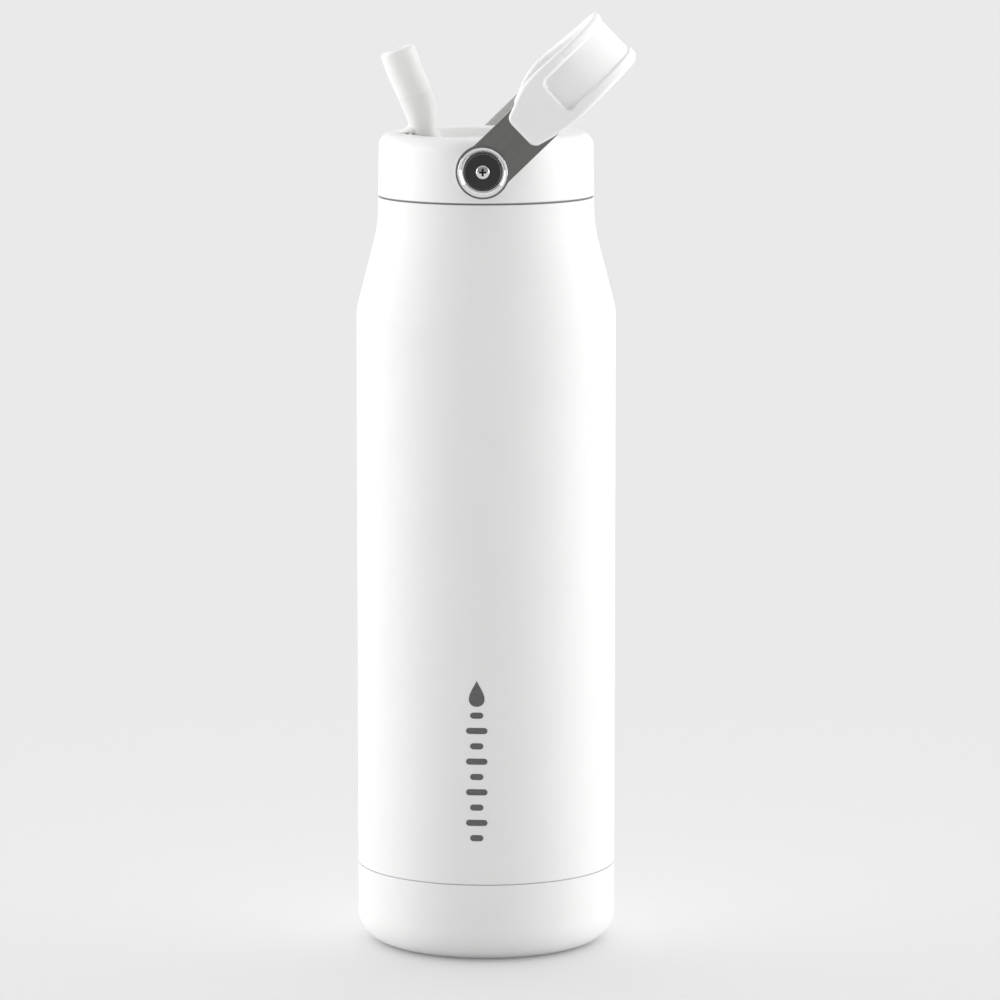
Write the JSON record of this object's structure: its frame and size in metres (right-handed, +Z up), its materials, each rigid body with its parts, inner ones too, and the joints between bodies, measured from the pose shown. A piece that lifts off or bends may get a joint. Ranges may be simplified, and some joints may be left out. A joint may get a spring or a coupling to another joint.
{
  "type": "insulated water bottle",
  "caption": "Double-wall steel bottle with a conical shoulder, screw lid, flip straw spout and a swinging bail handle with a moulded grip.",
  "frame": {"origin": "centre of the resting face, on the bottle's axis", "axes": "+Z up along the bottle's axis, -Y towards the front pivot, +X to the side that the handle leans to"},
  "size_m": [0.0787, 0.073, 0.2637],
  "materials": {
    "body_paint": "fine powder coat, satin white",
    "bare_steel": "satin steel",
    "getter_metal": "sintered grey",
    "solder": "dull",
    "lid_plastic": "satin white",
    "core_plastic": "matte white",
    "gasket_rubber": "matte dark grey",
    "clear_rubber": "milky silicone",
    "straw_plastic": "milky translucent",
    "spout_plastic": "satin white",
    "mouth_rubber": "soft white",
    "strap_steel": "dark brushed",
    "grip_plastic": "satin white",
    "ring_chrome": "polished",
    "black_plastic": "satin black",
    "screw_steel": "polished",
    "pin_steel": "ground",
    "insert_brass": "turned"
  },
  "bodies": {
    "bottle": {"outer_shell": "body_paint", "inner_liner": "bare_steel", "base_cup": "body_paint", "base_disc": "body_paint", "getter": "getter_metal", "vacuum_plug": "solder"},
    "gasket": {"lid_gasket": "gasket_rubber"},
    "lid": {"lid_shell": "lid_plastic", "lid_core": "core_plastic", "straw_port": "clear_rubber", "straw": "straw_plastic", "vent_valve": "clear_rubber", "spout_seal": "clear_rubber", "spout_pin_front": "pin_steel", "pivot_washer_front": "black_plastic", "pivot_bush_front": "pin_steel", "pivot_ring_front": "ring_chrome", "pivot_cap_front": "black_plastic", "pivot_screw_front": "screw_steel", "pivot_insert_front": "insert_brass", "spout_pin_back": "pin_steel", "pivot_washer_back": "black_plastic", "pivot_bush_back": "pin_steel", "pivot_ring_back": "ring_chrome", "pivot_cap_back": "black_plastic", "pivot_screw_back": "screw_steel", "pivot_insert_back": "insert_brass"},
    "spout": {"spout_carrier": "spout_plastic", "spout_mouthpiece": "mouth_rubber"},
    "handle": {"handle_strap": "strap_steel", "handle_grip": "grip_plastic"}
  },
  "joints": [
    {"name": "lid_rise", "type": "slide", "parent": "bottle", "child": "gasket", "axis": [0, 0, 1], "range_m": [0, 0.00701]},
    {"name": "lid_turn", "type": "hinge", "parent": "gasket", "child": "lid", "pos_m": [0, 0, 0.2125], "axis": [0, 0, 1], "range_deg": [0, 630]},
    {"name": "spout_flip", "type": "hinge", "parent": "lid", "child": "spout", "pos_m": [-0.0157, 0, 0.226], "axis": [0, 1, 0], "range_deg": [0, 108.6]},
    {"name": "handle_swing", "type": "hinge", "parent": "lid", "child": "handle", "pos_m": [0, 0, 0.2214], "axis": [0, 1, 0], "range_deg": [-166, 73]}
  ],
  "couplings": [
    {"joint": "lid_rise", "follows": "lid_turn", "m_per_rad": 0.00063662}
  ]
}
